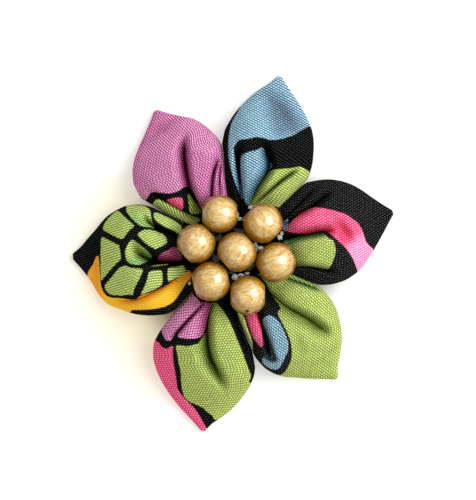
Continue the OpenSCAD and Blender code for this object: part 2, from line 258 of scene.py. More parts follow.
def clothMaterial(name, ground, layers, threads):
    look = clothLook
    build = newMaterial(name)
    uvMap = build.make("ShaderNodeUVMap", uv_map="cloth")
    weave = build.group(weaveGroup, Map=uvMap, Turn=math.radians(threads[0]), Lean=threads[1])
    wander = build.noise(uvMap, *look["wander"]) * (2 * look["edgeWander"]) - look["edgeWander"]
    colour, pale, gap, _ = look["inks"][ground]
    inside = 1.0
    for i, (ink, _) in enumerate(layers):
        distance = build.attribute(f"ink{i}") + wander
        if ink in look["washes"]:
            tint, fade, left = look["washes"][ink]
            share = build.remap(distance, -fade, fade, 1.0, 0.0) * inside
            colour = build.mix(share, colour, tint)
            pale = (share * (left - 1.0) + 1.0) * pale
        else:
            tint, palest, deepest, spread = look["inks"][ink]
            inside = build.remap(distance, spread - look["edgeBlur"], spread + look["edgeBlur"], 1.0, 0.0)
            colour = build.mix(inside, colour, tint)
            pale = inside * (palest - pale) + pale
            gap = inside * (deepest - gap) + gap
    # painted shade: between the threads and along the folds and dents the ink is made darker and stronger, as its
    # own colour multiplied by itself
    crease, height = build.attribute("crease"), weave["Height"]
    deep = build.remap(height, *look["gapHeights"], 0.0, look["gapStrength"]) * gap
    deep = build.math("MULTIPLY_ADD", crease, look["creaseDeep"], deep, clamp=True)
    colour = build.mix(deep, colour, build.mix(1.0, colour, colour, "MULTIPLY"))
    tone = weave["Thread Tone"] * (2 * look["threadTone"]) + (1 - look["threadTone"])
    # painted light and shade: thread tops lighter and gaps darker by each ink's gap depth, and darker again in the
    # painted fold shade
    light = tone * build.remap(height, *look["lightHeights"], look["gapShade"], look["topShade"], "LINEAR")
    light = ((light - 1.0) * gap + 1.0) * (crease * -look["creaseShade"] + 1.0)
    colour = build.vector("MINIMUM", build.vector("SCALE", colour, Scale=light), (look["lightest"],) * 3)
    tops = build.remap(height, *look["topHeights"]) * build.remap(weave["Slub"], *look["slubs"])
    palePart = build.math("MULTIPLY", tops * pale, look["paleTops"], clamp=True)
    # the pale thread is held back in the painted fold shade
    palePart = palePart * build.math("SUBTRACT", 1.0, crease, clamp=True)
    return build.shade(Base_Color=build.mix(palePart, colour, look["bareThread"]), Roughness=look["roughness"],
                       Specular_IOR_Level=0.0, Normal=build.bump(height, *look["relief"]))


# Petals: each a square of canvas folded double, its front puffed up, its two flaps meeting behind it;
# sizes in mm, angles in degrees
petalLook = {
    "middle": (0.4, 0.43), "height": 10.8, "wall": 0.9, "tipWall": 0.45, "gap": 0.06, "slit": 0.6, "space": 0.2,
    "rootCrown": 0.7, "rootBack": 5.2, "droop": (12.3, 28.5), "seamTurn": (12.0, 20.0), "edgePower": 2.4,
    "flapPower": 4, "foldLimit": 0.93, "foldRoot": 8.0, "foldFade": 0.26, "creaseFade": 0.34, "creaseMost": 0.75,
    "creaseWidth": 0.45, "dentShade": 0.6, "stations": 136, "crowdTip": 0.3, "acrossFront": 120, "crowdFolds": 0.6,
    "closest": 0.002, "acrossFlap": 22, "seed": 11, "wrinkle": 0.13, "wrinkleSize": 7.0, "gather": 0.10,
    "gatherSize": 3.0,
    "waves": 7, "waveSizes": (0.7, 1.6), "wavePhase": 6.28, "wavePeak": 3.2, "gatherSeed": 50, "flattest": 0.05,
    "gatherStretch": (2.2, 0.35), "gatherFade": (18.0, 10.0), "liningDrop": 0.05, "drape": 0.3,
    "flapPrint": (0.85, 0.25), "outlinePull": 0.35, "sharpAngle": 62.0, "square": 64.0, "clothLeft": 0.00125,
}
rootCrown = petalLook["rootCrown"]

# seams: the way each one runs, near the root and further out; threads: their turn, and the weave's lean
# sections: distance from the middle, reach left, reach right, crown as a share of the height, tip to root
# folds: where the fold ends, its four places across from the root to there, depth, reach left, reach right
# dents: across, distance from the middle, direction, half length, half width, depth
# inks: painted in this order on the ground, each with its outlines: across, distance from the middle, and so on;
# some are washes of painted shade and painted light
petalSpecs = {
    "petal_top_left": {
        "slot": "cloth_purple", "facing": 119.4, "seams": ((150.4, 150.4), (97.8, 96.9)), "threads": (-45, 0.75),
        "ground": "purple",
        "sections": [[33.3, 0.4, 0.4, 0.11], [32, 1.9, 1.6, 0.2], [30, 4.5, 3.7, 0.27], [28, 7.2, 6.0, 0.44],
            [26, 9.3, 7.2, 0.63], [24, 10.6, 7.9, 0.78], [22, 11.3, 8.4, 0.89], [20, 11.4, 8.4, 0.97],
            [18, 11.1, 7.9, 1.0], [16, 10.2, 7.0, 1.0], [14, 8.6, 6.0, 0.96], [12.3, 7.3, 5.1, 0.86],
            [10.8, 6.2, 4.3, 0.74], [9, 4.9, 3.5, rootCrown], [6.5, 3.0, 2.6, rootCrown]],
        "folds": [[20.5, [-3.0, -5.2, -7.5, -9.7], 0.5, 1.0, 1.6], [27, [-1.6, -1.9, 0.0, 2.8], 0.95, 3.0, 1.6],
            [19.5, [-1.0, 1.1, 3.7, 7.0], 0.85, 1.3, 0.9], [18.7, [1.1, 3.0, 4.9, 7.3], 0.6, 0.6, 0.6]],
        "dents": [[-1.5, 29.3, 6, 5.5, 0.9, 0.3]],
        "inks": [("magenta", [[-8, 29, 0, 35, 7, 30, 4, 29, 0, 29.2, -4, 29.6], [-13, 22, -9, 29, -4, 31, -5, 29,
                -8.6, 25.8, -10.6, 22], [1.8, 23.5, 5, 19.5, 8, 19.5, 8, 10, 0, 10, -0.6, 14, 0.4, 19]]),
            ("black", [[-16, 18, -10.9, 18, -9.3, 18.8, -8.3, 18.6, -7, 17.6, -5.5, 16.7, -4, 16.4, -2.4, 16.5,
                -1.7, 15.6, -1.6, 13.5, -1.9, 11.5, -2.3, 9.5, -3, 6, -16, 6]]),
            ("pink", [[-6.9, 15.9, -4.2, 14.9, -5.2, 12.9]]),
            ("green", [[-2.5, 14.9, -2.1, 13, -2.1, 10.5, -3.9, 11.4, -3.3, 13], [-9.6, 16.8, -8.3, 16.9,
                -6.5, 14.2, -4, 10.5, -3, 9.3, -4.8, 9.3, -7.5, 12.5, -9.6, 15.9]])]},
    "petal_top": {
        "slot": "cloth_blue", "facing": 76.2, "seams": ((97.8, 96.9), (45, 45)), "threads": (-45, 0.25),
        "ground": "blue",
        "sections": [[37.1, 0.15, 0.85, 0.11], [35.3, 1.5, 2.7, 0.19], [33, 3.6, 5.2, 0.27],
            [30.5, 5.4, 7.6, 0.42], [28, 6.7, 9.4, 0.61], [25.8, 7.5, 10.3, 0.77], [23.5, 8.0, 10.8, 0.89],
            [21, 7.9, 11.1, 0.97], [18.8, 7.3, 11.0, 1.01], [16.6, 6.6, 10.2, 1.01], [14.4, 5.7, 8.9, 0.97],
            [12.4, 4.9, 7.5, 0.87], [10.8, 4.2, 6.4, 0.75], [9, 3.4, 5.0, rootCrown], [6.5, 2.5, 3.2, rootCrown]],
        "folds": [[22.5, [-0.9, -2.2, -3.9, -4.6], 0.75, 1.2, 1.8], [24, [0.4, 1.2, 2.6, 0.3], 0.9, 2.8, 1.8],
            [20.3, [-0.2, 2.7, 5.6, 8.7], 0.8, 1.0, 1.0]],
        "dents": [[2.2, 30.2, -42, 5.2, 2.4, 0.5]],
        "inks": [("slate", [[-2, 33.2, 1.5, 33, 5.5, 30.5, 8.5, 28.4, 6, 26.3, 3, 25, 1.2, 26.5, 0, 29.5]]),
            ("black", [[16, 29, 9.1, 28.6, 8, 28, 6, 26, 4, 24.7, 2, 23.9, 0.5, 23.8, -1, 23.8, -3, 22.9,
                -4.5, 22.3, -5.2, 21, -5.1, 20.1, -4.0, 17.5, -2.8, 15, -1.7, 12.8, -0.8, 10.9, -1.4, 10.9,
                -2.7, 12.6, -4.6, 15.5, -6, 18.5, -6.8, 21.5, -7.1, 24, -7, 26, -6.2, 29.5, -9, 30, -14, 22,
                -14, 6, 16, 6]]),
            ("blue", [[-3.3, 19.3, -2.2, 20.3, -0.8, 21.0, 0.1, 21.8, 0.6, 21.8, 1.4, 20.6, 2.6, 19.5, 3.1, 18.7,
                2.5, 17.5, 1.8, 16, 1.3, 14, 0.8, 12.2, 0.3, 10, -0.5, 10.8, -1.6, 13, -2.9, 17]]),
            ("green", [[9, 19.9, 10.9, 19.4, 10.5, 17.5, 9.9, 16, 8, 13, 7, 11.3, 5, 11, 2, 9.8, 0.5, 9.8, 1, 12,
                1.7, 15, 2.2, 16.5, 3.4, 17.9, 5, 18.5, 7, 19.2, 8.3, 19.8]])]},
    "petal_right": {
        "slot": "cloth_black", "facing": 14.2, "seams": ((45, 45), (-21.8, -21.8)), "threads": (-45, 0.7),
        "ground": "soot",
        "sections": [[33.4, 0.4, 0.5, 0.11], [32, 1.8, 2.0, 0.2], [30, 4.0, 4.2, 0.28], [28, 6.3, 6.3, 0.45],
            [26, 8.0, 8.2, 0.64], [24, 9.1, 9.8, 0.79], [22, 9.8, 10.7, 0.9], [20, 10.1, 11.2, 0.97],
            [18, 10.2, 11.3, 1.0], [16, 9.6, 11.0, 1.0], [14, 8.6, 10.2, 0.96], [12.3, 7.6, 9.0, 0.86],
            [10.8, 6.6, 7.9, 0.74], [9, 5.4, 6.4, rootCrown], [6.5, 3.2, 4.0, rootCrown]],
        "folds": [[20.5, [-3.4, -4.7, -7.0, -9.2], 0.5, 1.0, 1.2], [23.5, [-2.0, -3.8, -5.5, -7.8], 0.65, 1.2,
            1.6], [22.5, [-0.2, 0.0, 0.3, 1.0], 0.9, 2.0, 1.6], [20, [3.4, 5.8, 7.6, 9.6], 0.65, 1.4, 1.2]],
        "dents": [[1.5, 22.4, 24, 2.8, 1.3, 0.45]],
        "inks": [("pink", [[6.8, 27.5, 5.8, 27, 4.5, 26.3, 2.5, 26.2, 1, 25.9, 0, 25.3, -1.5, 24, -2.8, 22.2,
                -3.9, 20, -4.7, 18, -4.6, 16, -4, 14.3, -3, 12.6, -1.8, 11.2, -0.8, 13, -0.2, 15, 0, 16.5,
                0.1, 18.5, 0.8, 19.6, 2.5, 20.8, 4.3, 22, 6, 22.8, 8, 23.3, 9.9, 23.5, 16, 23.5, 12, 28]]),
            ("rose", [[2.6, 28, 8, 32, 16, 25, 11, 19.5, 4.6, 22.4]]),
            ("green", [[0.7, 10, 0.4, 12, 0.2, 14, 0.2, 16, 0.3, 17.5, 0.9, 18.4, 2, 19, 2.7, 19.8, 4.5, 19.9,
                6, 19.2, 7.8, 17.7, 7.5, 16.3, 6.7, 14.5, 6, 12.5, 5.5, 11.2, 4, 9]]),
            ("moss", [[-1, 9, -1, 18, 0.9, 18.6, 1.4, 18, 1.2, 14, 1.3, 9]]),
            ("blue", [[-3.8, 12, -2.6, 11.7, -1.8, 10.9, -3, 10.9]])]},
    "petal_bottom_right": {
        "slot": "cloth_green", "facing": -51.2, "seams": ((-21.8, -21.8), (-88.5, -80)), "threads": (-45, 0.7),
        "ground": "green",
        "sections": [[33.3, 0.4, 0.4, 0.11], [32, 1.3, 1.8, 0.2], [30, 3.5, 4.2, 0.28], [28, 5.6, 6.3, 0.45],
            [26, 7.1, 8.4, 0.63], [24, 8.1, 9.6, 0.78], [22, 8.9, 10.2, 0.89], [20, 9.2, 10.3, 0.97],
            [18, 9.2, 10.0, 1.0], [16, 8.8, 9.6, 1.0], [14, 7.9, 9.2, 0.96], [12.3, 7.0, 8.8, 0.86],
            [10.8, 6.1, 8.0, 0.74], [9, 5.0, 7.0, rootCrown], [6.5, 3.1, 3.8, rootCrown]],
        "folds": [[18, [-3.3, -5.2, -7.3, -9.0], 0.5, 0.6, 0.7], [27, [-0.2, -0.9, -3.3, -4.5], 0.7, 2.0, 4.0],
            [22, [2.6, 4.4, 6.0, 8.3], 0.75, 1.8, 1.1], [19, [5.3, 6.7, 8.2, 9.3], 0.5, 0.7, 0.5]],
        "dents": [[-3.7, 22.6, 102, 2.6, 0.9, 0.35], [1.6, 22.5, 60, 2.6, 1.0, 0.14],
            [-1.0, 28.3, 4, 5.5, 0.5, 0.14]],
        "inks": [("moss", [[-8.8, 17, -7.6, 16.3, -5.4, 12.6, -4.4, 10.8, -5.3, 10.6, -7.3, 13.6]]),
            ("soot", [[16, 25.4, 9.3, 25, 8.5, 25.4, 7, 25.3, 5, 24.3, 3.6, 22.8, 2.6, 21, 2, 19, 1.6, 17,
                1.1, 15, 0, 14.6, -0.2, 12, 0, 6, 16, 6]]),
            ("blue", [[2.2, 15.4, 2.1, 17, 2.5, 19, 3.2, 21, 4.2, 22.3, 5.5, 23, 6.5, 23.5, 7.8, 24, 8.6, 23.8,
                9.3, 22.9, 9.7, 21.5, 9.3, 20.6, 8.3, 20.5, 8.1, 21.5, 7.6, 21.6, 6.8, 20.5, 6, 18.5, 5.3, 16.5,
                4.7, 15, 4, 14.3, 2.8, 14.5]]),
            ("dusk", [[7.0, 22.8, 8.2, 22.4, 9.0, 20.2, 6.4, 18.0, 4.6, 14.2, 6.2, 20.5]]),
            ("pink", [[7.8, 18.4, 8, 17, 7.9, 15.5, 7.2, 13.5, 6.5, 11.7, 4.3, 12.3, 4.9, 14, 6, 15.9, 7, 17.5]]),
            ("lime", [[9.7, 17.6, 9.6, 16, 9.2, 14, 8.8, 12, 8.2, 10, 6.9, 10, 7.3, 12, 7.9, 13.5, 8.5, 15.5]])]},
    "petal_bottom_left": {
        "slot": "cloth_green", "facing": -100.1, "seams": ((-88.5, -80), (-135.3, -135.3)), "threads": (45, 0.5),
        "ground": "black",
        "sections": [[37.3, 0.4, 0.5, 0.11], [35.7, 1.4, 2.5, 0.19], [33.5, 3.6, 5.4, 0.27], [31, 5.6, 8.2, 0.42],
            [28.5, 7.0, 10.4, 0.61], [26.2, 7.9, 11.9, 0.77], [24, 8.3, 12.8, 0.88], [21.6, 8.1, 13.1, 0.96],
            [19.2, 7.4, 12.5, 1.01], [16.8, 6.4, 11.4, 1.01], [14.4, 5.0, 9.9, 0.97], [12.4, 3.7, 8.6, 0.87],
            [10.8, 2.9, 7.5, 0.75], [9, 2.2, 6.0, rootCrown], [6.5, 1.5, 4.2, rootCrown]],
        "folds": [[21.5, [-0.6, -2.0, -4.4, -7.0], 0.55, 1.0, 1.4], [28, [2.2, 3.0, 1.5, -2.6], 0.85, 1.9, 3.8],
            [20.8, [2.6, 5.0, 7.7, 9.9], 0.85, 1.0, 1.0]],
        "dents": [[-1.5, 26.0, 118, 2.2, 0.8, 0.3]],
        "inks": [("green", [[-2.6, 34.4, -1.5, 33.8, -0.3, 33.2, 1, 32.4, 2.5, 32, 4, 31.6, 5, 30.8, 5.8, 29,
                6.5, 26, 7.3, 24, 8, 22, 8.3, 20.9, 6.5, 20.8, 5, 20.3, 4, 19.7, 3.4, 18.4, 2.8, 17, 2.8, 14,
                2.9, 11.3, 2, 11, 0.3, 12.3, -1.5, 14.5, -3.3, 17.3, -5, 20, -6.3, 22.3, -7.6, 24.5, -7.8, 26,
                -16, 26, -12, 32]]),
            ("pink", [[0, 37.4, -0.5, 36.8, 0.5, 35.5, 1.8, 34, 3, 32.8, 5, 31.5, 6.7, 29.8, 7.3, 28, 8, 26,
                8.7, 24, 9.1, 22, 9.2, 21.2, 10, 21.9, 11.4, 21.9, 12.6, 20.9, 18, 21, 14, 32, 5, 38]]),
            ("purple", [[3.2, 11.3, 3.2, 14, 3.3, 16.5, 3.6, 17.8, 4.8, 18.6, 7, 19, 8.3, 19, 8.3, 18, 7.3, 15.5,
                6, 13.3, 5, 11.5], [5.2, 11.7, 6.8, 14.3, 8, 16.5, 9.2, 18.8, 9.8, 19.9, 10.8, 20, 11.7, 18.7,
                11.8, 17.8, 10.8, 15.8, 9.4, 13.9, 8, 12, 7, 10.3]])]},
    "petal_left": {
        "slot": "cloth_green", "facing": -178.4, "seams": ((-135.3, -135.3), (-209.6, -209.6)),
        "threads": (-45, 0.75), "ground": "black",
        "sections": [[33.3, 0.6, 0.6, 0.12], [31.6, 2.6, 2.0, 0.16], [30, 4.8, 3.8, 0.19], [28.3, 7.8, 5.6, 0.24],
            [27.4, 9.0, 6.7, 0.47], [26, 10.2, 8.1, 0.66], [24, 11.0, 9.3, 0.83], [22, 11.8, 10.1, 0.94],
            [20, 12.3, 10.3, 1.0], [17.5, 12.5, 9.9, 1.03], [15, 12.4, 8.7, 1.0], [12.7, 11.5, 7.4, 0.88],
            [10.8, 9.7, 6.3, 0.75], [9, 7.8, 5.1, rootCrown], [6.5, 4.3, 3.2, rootCrown]],
        "folds": [[27.2, [-3.8, -6.6, -9.2, -9.0], 0.5, 2.4, 0.8], [22, [-1.8, -1.7, -1.2, 1.4], 0.95, 2.0, 2.6],
            [19.5, [2.4, 3.7, 5.2, 8.0], 0.75, 1.6, 1.2]],
        "dents": [],
        "inks": [("orange", [[-4.6, 30.3, -3.3, 30, -1.8, 29, -0.2, 28.2, -3, 28, -5.5, 27.9, -7, 27.6,
                -8.3, 26.7, -8.8, 25.5, -9, 23.5, -9.3, 21.5, -9.2, 20.3, -8.6, 19.5, -7.8, 17, -6.5, 14,
                -5, 11.5, -3.9, 9.6, -4.5, 9, -6, 10.3, -7.5, 11.3, -9.5, 12.8, -10.5, 14.5, -11, 17, -11.1, 19.5,
                -11.1, 21.5, -11.6, 22, -10.9, 24.5, -10.2, 26.3, -8.3, 28.2, -6.5, 29.4]]),
            ("ember", [[-8, 31, 2, 31, 1, 27, -8.4, 27.2]]),
            ("pane", [[-8.2, 22, -8.3, 24, -7.9, 26, -6.3, 27, -4.5, 25.5, -2.6, 23.8, -2.1, 22.5, -2.6, 21,
                -2.9, 18.8, -4.5, 19.3, -7, 20.7, -8.2, 21], [-5.2, 27.6, -3, 27.7, 0, 27.6, 3.8, 27.3, 3.4, 26,
                2.3, 24, 2, 23.5, -0.8, 23.2, -1.5, 24, -3, 25.5], [5.3, 26.9, 6.5, 26.7, 8, 25.5, 9.2, 23.8,
                7.6, 22, 5.9, 20.3, 5, 21.3, 3.2, 22.9, 4.1, 25], [10.2, 21.9, 10.3, 20, 9.9, 18, 9, 17, 7, 16.7,
                5.3, 16.2, 5.5, 17.5, 5.9, 19.3, 7.5, 21, 8.9, 22], [-1.9, 21.2, -1, 22.2, 0.5, 22.5, 2, 22,
                3.2, 20.9, 2.5, 19.8, 1, 18, -0.7, 16.8, -1.5, 18, -2.1, 19.5], [4.1, 19.8, 5, 18.8, 5.1, 17.5,
                4.8, 16, 3.9, 14.2, 2.2, 13.7, 1.3, 15.5, 1, 16.3, 2.3, 18.3], [-8.3, 19.5, -6.5, 18.7, -5, 18.1,
                -3.4, 17.5, -3.3, 15, -6, 14.9, -7, 16], [-5.7, 13.8, -2.9, 13.8, -2.6, 12, -2.4, 10.5,
                -4.2, 10.2, -5, 12], [-2.5, 18, -2.1, 16, -1.9, 13.7, -2.3, 13.7, -2.6, 16], [8.5, 16.4,
                8.4, 15.2, 7.1, 12.7, 5.6, 10.7, 3.8, 11.2, 4.7, 12.5, 5.4, 14.1, 7, 16.2]]),
            ("mint", [[-2.2, 22.2, -0.9, 22.6, -0.3, 20.5, -1, 17, -2.4, 18], [4.6, 17, 5.4, 20.6, 8, 22, 8, 20,
                6, 17]]),
            ("purple", [[-1.2, 15.5, -0.3, 15.3, 0.4, 14, 1.2, 12.2, -1, 11, -1.4, 13]]),
            ("wine", [[-3, 17, 2, 17, 3, 10, -3, 10]])]},
}


def hermite(t, start, leaving, end, arriving):
    return ((2 * t ** 3 - 3 * t ** 2 + 1) * start + (t ** 3 - 2 * t ** 2 + t) * leaving
            + (3 * t ** 2 - 2 * t ** 3) * end + (t ** 3 - t ** 2) * arriving)


def throughRows(at, places, values):
    # a curve through a table's rows that never swings past them; places rise
    steps = np.diff(places)
    slopes = np.diff(values) / steps
    same = slopes[:-1] * slopes[1:] > 0
    middle = np.where(same, 2 * slopes[:-1] * slopes[1:] / np.where(same, slopes[:-1] + slopes[1:], 1.0), 0.0)
    tangents = np.concatenate([[slopes[0]], middle, [slopes[-1]]])
    i = np.clip(np.searchsorted(places, at) - 1, 0, len(steps) - 1)
    t = np.clip((at - places[i]) / steps[i], 0.0, 1.0)
    return hermite(t, values[i], steps[i] * tangents[i], values[i + 1], steps[i] * tangents[i + 1])


def throughFour(values, share):
    # a curve through four even places
    v = np.array(values, float)
    s = np.clip(share, 0.0, 1.0) * 3
    i = np.minimum(2, np.floor(s)).astype(int)
    before, after = v[np.maximum(0, i - 1)], v[np.minimum(3, i + 2)]
    return hermite(s - i, v[i], (v[i + 1] - before) / 2, v[i + 1], (after - v[i]) / 2)


def domeCurve(x, power):
    return np.sqrt(np.maximum(0.0, 1.0 - np.minimum(1.0, np.abs(x)) ** power))


def bumpyField(across, out, seed, size):
    # gentle wrinkles from a few seeded waves, about -1 to 1
    rng = np.random.default_rng(seed)
    total = np.zeros_like(across)
    for _ in range(petalLook["waves"]):
        turn = rng.uniform(0, 2 * math.pi)
        wave = size * rng.uniform(*petalLook["waveSizes"])
        along = across * math.cos(turn) + out * math.sin(turn)
        total += np.sin(along * 2 * math.pi / wave + rng.uniform(0, petalLook["wavePhase"]))
    return total / petalLook["wavePeak"]


def petalShape(spec):
    # everything about one petal that depends on the distance from the middle alone, as columns
    look = petalLook
    rows = np.array(spec["sections"], float)[::-1]
    places = rows[:, 0]
    t = np.linspace(0.0, 1.0, look["stations"])[:, None]
    out = places[-1] - (places[-1] - places[0]) * ((1 - look["crowdTip"]) * t + look["crowdTip"] * t * t)
    droop = smooth((out - look["droop"][0]) / (look["droop"][1] - look["droop"][0]))
    back = look["rootBack"] * (1 - droop)
    crown = look["height"] * throughRows(out, places, rows[:, 3])
    reach = []
    for side, (near, far) in enumerate(spec["seams"]):
        def seamAngle(radius):
            start, end = look["seamTurn"]
            seam = near + (far - near) * np.clip((radius - start) / (end - start), 0, 1)
            return np.radians(np.abs(seam - spec["facing"]))
        angle = seamAngle(out / np.cos(seamAngle(out)))
        reach.append(np.minimum(throughRows(out, places, rows[:, 1 + side]),
                                out * np.tan(angle) - look["gap"] / 2 / np.cos(angle)))
    wall = np.minimum(look["wall"], np.minimum((crown - back - look["space"]) / 2,
                                               look["tipWall"] * np.minimum(*reach)))
    return SimpleNamespace(out=out, back=back, crown=crown, reach=reach, wall=wall, rows=rows, places=places,
                           side=back + (2 - droop) * wall + look["space"], folds=spec["folds"], dents=spec["dents"])


def bySide(across, left, right):
    return np.where(across < 0, left, right)


def foldLine(fold, out):
    # how far along a fold each point lies, and where the fold runs there
    share = (out - petalLook["foldRoot"]) / (fold[0] - petalLook["foldRoot"])
    return share, throughFour(fold[1], share)


def foldAt(fold, out, across):
    # how far along a fold each point lies, how far beside it, and how far the fold reaches on that side
    share, line = foldLine(fold, out)
    return share, across - line, bySide(across - line, *fold[3:])


def foldFactor(fold, out, across):
    share, beside, reach = foldAt(fold, out, across)
    u = np.minimum(1.0, np.abs(beside / reach))
    tight = petalLook["creaseMost"] * smooth((1 - share) / petalLook["creaseFade"])
    cross = tight * (1 - np.sqrt(np.maximum(0.0, 1 - (1 - u) ** 2))) + (1 - tight) * (1 - u * u) ** 2
    return 1 - fold[2] * smooth((1 - share) / petalLook["foldFade"]) * cross


def dentShare(dent, out, across):
    dentAcross, dentOut, turn, long, wide, depth = dent
    a, b = across - dentAcross, out - dentOut
    cosine, sine = math.cos(math.radians(turn)), math.sin(math.radians(turn))
    return depth * np.exp(-((a * cosine + b * sine) / long) ** 2 - ((b * cosine - a * sine) / wide) ** 2)


def foldShadeShare(shape, across):
    # painted shade: 1 on a deep fold's line and in a dent, 0 away from it
    total = np.zeros(across.shape)
    for fold in shape.folds:
        share, beside, reach = foldAt(fold, shape.out, across)
        line = np.exp(-(beside / (petalLook["creaseWidth"] * reach)) ** 2)
        total = np.maximum(total, fold[2] * smooth((1 - share) / petalLook["creaseFade"]) * line)
    for dent in shape.dents:
        total = np.maximum(total, petalLook["dentShade"] * dentShare(dent, shape.out, across))
    return total


def frontHeight(shape, across):
    full = domeCurve(across / bySide(across, *shape.reach), petalLook["edgePower"])
    full = (shape.crown - shape.side) * full
    for fold in shape.folds:
        full = full * foldFactor(fold, shape.out, across)
    for dent in shape.dents:
        full = full * (1 - dentShare(dent, shape.out, across))
    return shape.side + full


def flapHeight(shape, across, inset):
    reach = bySide(across, *shape.reach) - inset
    return shape.side - (shape.side - shape.back - inset) * domeCurve(across / reach, petalLook["flapPower"])


def liningHeight(shape, across):
    # the wall's inner face: a wall's thickness under the front at every point near by
    wall, side = shape.wall, shape.side
    reach = bySide(across, *shape.reach) - wall
    lining = side + (shape.crown - wall - side) * domeCurve(across / reach, petalLook["edgePower"])
    for s in (-0.9, -0.6, -0.3, 0.0, 0.3, 0.6, 0.9):
        lining = np.minimum(lining, frontHeight(shape, across + s * wall) - wall * math.sqrt(1 - s * s))
    return np.maximum(lining, flapHeight(shape, across, wall) + petalLook["space"] / 2)


def frontPlaces(shape):
    # columns of points that follow the folds' lines and crowd towards them
    look, out = petalLook, shape.out

    def shareOf(across, reach):
        return np.clip(across / bySide(across, *reach), -look["foldLimit"], look["foldLimit"])
    knots = [-shape.reach[0]]
    for i, fold in enumerate(shape.folds):
        end, line = fold[:2]
        ended = shareOf(line[3], [np.interp(end, shape.places, shape.rows[:, c]) for c in (1, 2)])
        even = 2 * (i + 1) / (len(shape.folds) + 1) - 1
        past = ended + (even - ended) * smooth((out - end) / (shape.places[-1] - end))
        share = np.where(out <= end, shareOf(foldLine(fold, out)[1], shape.reach), past)
        knots.append(np.maximum(share * bySide(share, *shape.reach), knots[-1] + look["closest"] * shape.reach[0]))
    knots.append(shape.reach[1])
    spans = len(knots) - 1
    places = [knots[0]]
    for i in range(spans):
        steps = look["acrossFront"] * (i + 1) // spans - look["acrossFront"] * i // spans
        share = np.arange(1, steps + 1) / steps
        share = look["crowdFolds"] * (1 - np.cos(math.pi * share)) / 2 + (1 - look["crowdFolds"]) * share
        places.append(knots[i] + (knots[i + 1] - knots[i]) * share)
    return np.hstack(places)


def smoothOutline(points, steps=4):
    # a closed brush line through the given points
    p = np.array(points, float).reshape(-1, 2)
    after = np.roll(p, -1, 0)
    pull = petalLook["outlinePull"]
    leaving, arriving = pull * (after - np.roll(p, 1, 0)), pull * (np.roll(p, -2, 0) - p)
    return np.stack([hermite(t, p, leaving, after, arriving) for t in np.arange(steps) / steps], 1).reshape(-1, 2)


def inkDistance(spots, outlines):
    # signed distance to the nearest of some outlines, below 0 inside one
    best = np.full(len(spots), 99.0)
    for outline in outlines:
        line = smoothOutline(outline)
        nearest = np.full(len(spots), 1e9)
        crossings = np.zeros(len(spots), int)
        for start, end in zip(line, np.roll(line, -1, 0)):
            edge = end - start
            t = np.clip(((spots - start) @ edge) / max(edge @ edge, 1e-9), 0, 1)
            nearest = np.minimum(nearest, ((spots - start - t[:, None] * edge) ** 2).sum(1))
            over = (start[1] > spots[:, 1]) != (end[1] > spots[:, 1])
            rise = edge[1] if abs(edge[1]) > 1e-9 else 1e-9
            crossings += over & (spots[:, 0] < start[0] + (spots[:, 1] - start[1]) * edge[0] / rise)
        distance = np.sqrt(nearest)
        best = np.minimum(best, np.where(crossings % 2 == 1, -distance, distance))
    return best


def storeValues(mesh, label, values):
    mesh.attributes.new(label, "FLOAT", "POINT").data.foreach_set("value", values.astype(np.float32))


